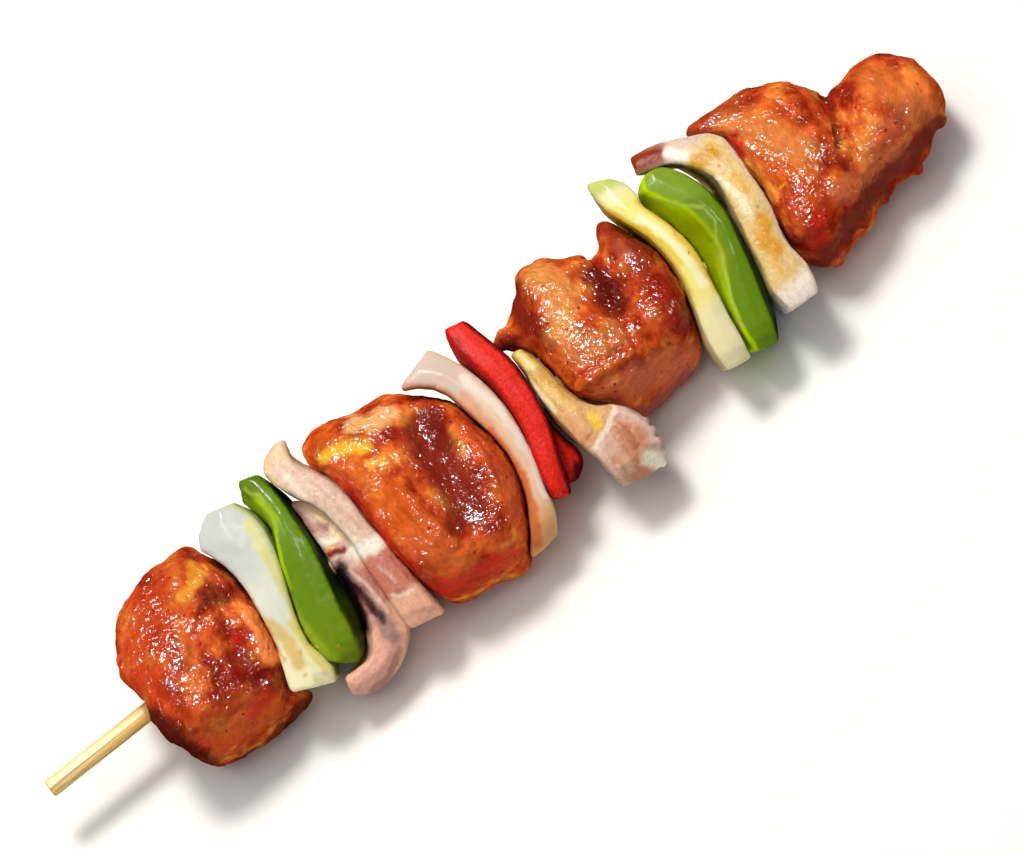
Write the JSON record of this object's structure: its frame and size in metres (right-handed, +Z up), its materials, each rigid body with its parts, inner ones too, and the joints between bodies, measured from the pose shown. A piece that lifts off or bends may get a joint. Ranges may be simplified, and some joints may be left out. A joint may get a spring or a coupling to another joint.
{
  "type": "pork skewer",
  "caption": "Raw marinated pork skewer: pork, onion, green and red sweet pepper and folded bacon threaded on a round bamboo stick, lying on its side.",
  "frame": {"origin": "bottom centre of the box of the whole skewer, on the table it lies on", "axes": "+X along the stick from its bare handle end to the last piece of meat, +Z up, +Y across to the far side as the shown side is looked at"},
  "size_m": [0.2106, 0.0466, 0.0293],
  "materials": {
    "marinated_pork": "raw meat, wet with an orange-red marinade",
    "bamboo": "bare, split and turned bamboo",
    "onion": "raw, moist, slightly translucent",
    "green_pepper": "raw cut flesh with a dark waxy skin",
    "red_pepper": "raw cut flesh, wet",
    "bacon": "cured raw lean and fat in bands, moist"
  },
  "bodies": {
    "root": {"stick": "bamboo", "pork_1": "marinated_pork", "onion_1": "onion", "green_pepper_1": "green_pepper", "bacon_1": "bacon", "pork_2": "marinated_pork", "onion_2": "onion", "red_pepper": "red_pepper", "bacon_2": "bacon", "pork_3": "marinated_pork", "onion_3": "onion", "green_pepper_2": "green_pepper", "bacon_3": "bacon", "pork_4": "marinated_pork"}
  },
  "joints": []
}
